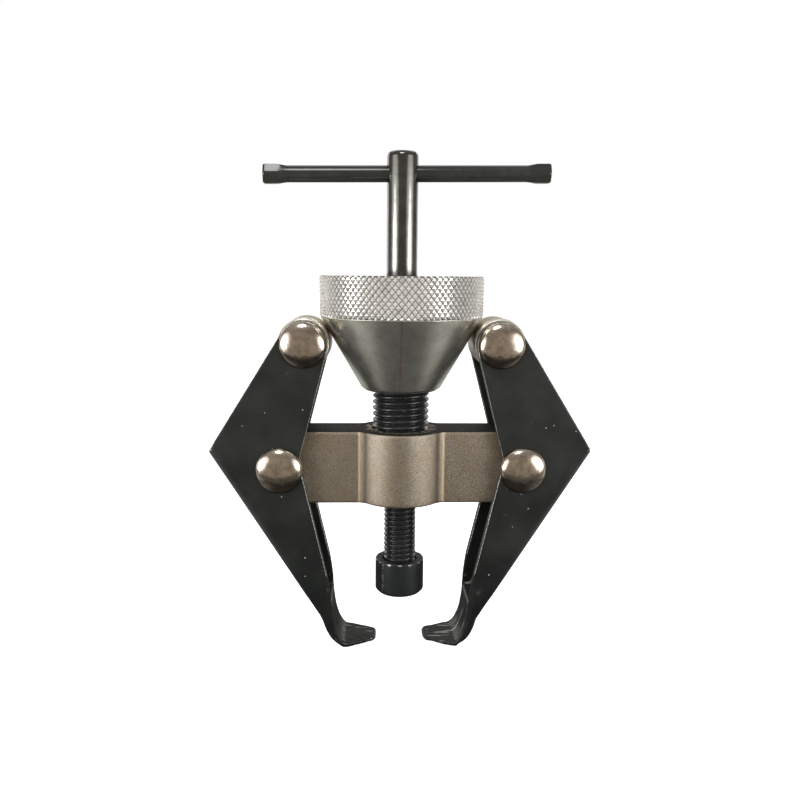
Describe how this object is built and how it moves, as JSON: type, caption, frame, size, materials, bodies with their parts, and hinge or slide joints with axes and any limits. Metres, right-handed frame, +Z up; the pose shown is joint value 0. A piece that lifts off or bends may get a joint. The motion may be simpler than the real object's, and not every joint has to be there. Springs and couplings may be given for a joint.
{
  "type": "two-leg cone-actuated puller",
  "caption": "Small hand puller: a knurled cone nut spreads rollers to close two hooked steel legs, and a T-handled forcing screw with a swivelling pressure cap pushes the held part off.",
  "frame": {"origin": "on the tool's axis, at the height of the claw undersides", "axes": "+Z up the tool's axis towards the T-bar, X across the two legs, Y across the width of a leg"},
  "size_m": [0.0924, 0.04, 0.1223],
  "materials": {
    "cast_alloy": "blasted bronze-grey casting, satin",
    "black_oxide_thread": "black oxide, glossy on the crests",
    "turned_steel": "turned, satin, with a bright knurl",
    "gunmetal": "dark gunmetal, glossy",
    "black_oxide_bar": "black oxide, semi-gloss",
    "hardened_steel": "polished",
    "black_oxide_cap": "black oxide, dull",
    "black_leg": "black, semi-gloss, with bare worn edges",
    "polished_nickel": "polished nickel",
    "satin_nickel": "satin nickel"
  },
  "bodies": {
    "frame": {"crossbar": "cast_alloy", "threaded_sleeve": "black_oxide_thread"},
    "nut": {"cone_nut": "turned_steel"},
    "right_leg": {"right_leg": "black_leg", "right_pivot_rivet": "polished_nickel", "right_roller_rivet": "polished_nickel"},
    "right_roller": {"right_roller": "satin_nickel"},
    "left_leg": {"left_leg": "black_leg", "left_pivot_rivet": "polished_nickel", "left_roller_rivet": "polished_nickel"},
    "left_roller": {"left_roller": "satin_nickel"},
    "thrust_ball": {"thrust_ball": "hardened_steel"},
    "screw": {"forcing_screw": "gunmetal"},
    "t_bar": {"t_bar": "black_oxide_bar"},
    "cap": {"pressure_cap": "black_oxide_cap"}
  },
  "joints": [
    {"name": "nut_travel", "type": "slide", "parent": "frame", "child": "nut", "axis": [0, 0, 1], "range_m": [-0.004, 0.011]},
    {"name": "right_leg_swing", "type": "hinge", "parent": "frame", "child": "right_leg", "pos_m": [0.0294, 0, 0.04675], "axis": [0, -1, 0], "range_deg": [-5.2, 14.2]},
    {"name": "left_leg_swing", "type": "hinge", "parent": "frame", "child": "left_leg", "pos_m": [-0.0294, 0, 0.04675], "axis": [0, 1, 0], "range_deg": [-5.2, 14.2]},
    {"name": "right_roller_turn", "type": "hinge", "parent": "right_leg", "child": "right_roller", "pos_m": [0.0234, 0, 0.0769], "axis": [0, 1, 0], "continuous": true},
    {"name": "left_roller_turn", "type": "hinge", "parent": "left_leg", "child": "left_roller", "pos_m": [-0.0234, 0, 0.0769], "axis": [0, 1, 0], "continuous": true},
    {"name": "screw_travel", "type": "slide", "parent": "frame", "child": "thrust_ball", "axis": [0, 0, 1], "range_m": [-0.008, 0.015]},
    {"name": "screw_turn", "type": "hinge", "parent": "thrust_ball", "child": "screw", "pos_m": [0, 0, 0.06], "axis": [0, 0, 1], "range_deg": [-2306, 4322]},
    {"name": "t_bar_slide", "type": "slide", "parent": "screw", "child": "t_bar", "axis": [0.9999, 0, 0.0136], "range_m": [-0.0253, 0.0229]},
    {"name": "cap_swivel", "type": "hinge", "parent": "screw", "child": "cap", "pos_m": [0, 0, 0.0172], "axis": [0, 0, 1], "continuous": true}
  ],
  "couplings": [
    {"joint": "right_leg_swing", "follows": "nut_travel", "rad_per_m": 22.4},
    {"joint": "left_leg_swing", "follows": "nut_travel", "rad_per_m": 22.4},
    {"joint": "screw_turn", "follows": "screw_travel", "rad_per_m": 5026.5}
  ]
}
